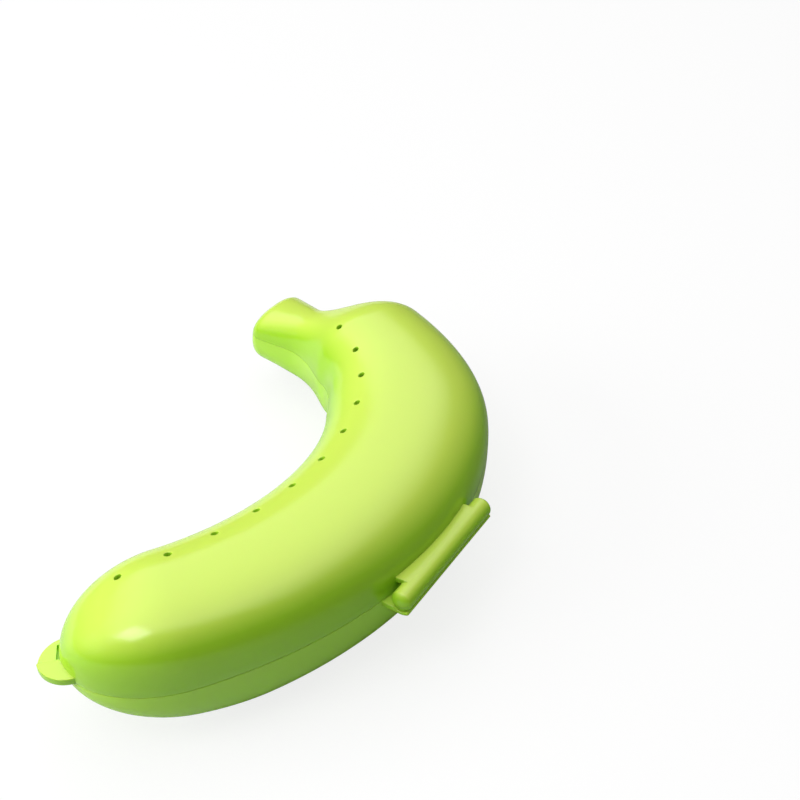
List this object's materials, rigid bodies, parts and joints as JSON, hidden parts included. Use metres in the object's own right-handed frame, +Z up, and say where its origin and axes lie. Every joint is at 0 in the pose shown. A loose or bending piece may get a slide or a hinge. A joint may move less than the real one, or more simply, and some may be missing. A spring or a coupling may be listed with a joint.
{
  "type": "banana carrying case",
  "caption": "Banana-shaped hard plastic carrying case: two thin curved half shells with a rod hinge on the outer curve, a snap latch on the inner curve and a row of vent holes in the lid.",
  "frame": {"origin": "centre of the closed case in plan, on the floor that its base lies on", "axes": "+X towards the rounded tip, with the stem at -X; +Y towards the outer curve and its hinge, with the latch and the inner curve at -Y; +Z up through the lid"},
  "size_m": [0.1946, 0.1278, 0.046],
  "materials": {
    "base_plastic": "satin, moulded polypropylene",
    "lid_plastic": "satin, moulded polypropylene"
  },
  "bodies": {
    "base": {"lower_shell": "base_plastic", "hinge_trough": "base_plastic", "latch_strap": "base_plastic", "base_lug": "base_plastic", "stem_tongue": "base_plastic"},
    "lid": {"upper_shell": "lid_plastic", "hinge_web": "lid_plastic", "hinge_rod": "lid_plastic", "lid_lug": "lid_plastic"},
    "latch": {"latch_hook": "lid_plastic"}
  },
  "joints": [
    {"name": "lid_hinge", "type": "hinge", "parent": "base", "child": "lid", "pos_m": [-0.00151, 0.06052, 0.02695], "axis": [-1, 0, 0], "range_deg": [0, 110]},
    {"name": "latch_flex", "type": "hinge", "parent": "lid", "child": "latch", "pos_m": [-0.00226, 0.00524, 0.0298], "axis": [1, 0.01, 0], "range_deg": [0, 6], "stiffness_Nm_per_rad": 0.02}
  ]
}
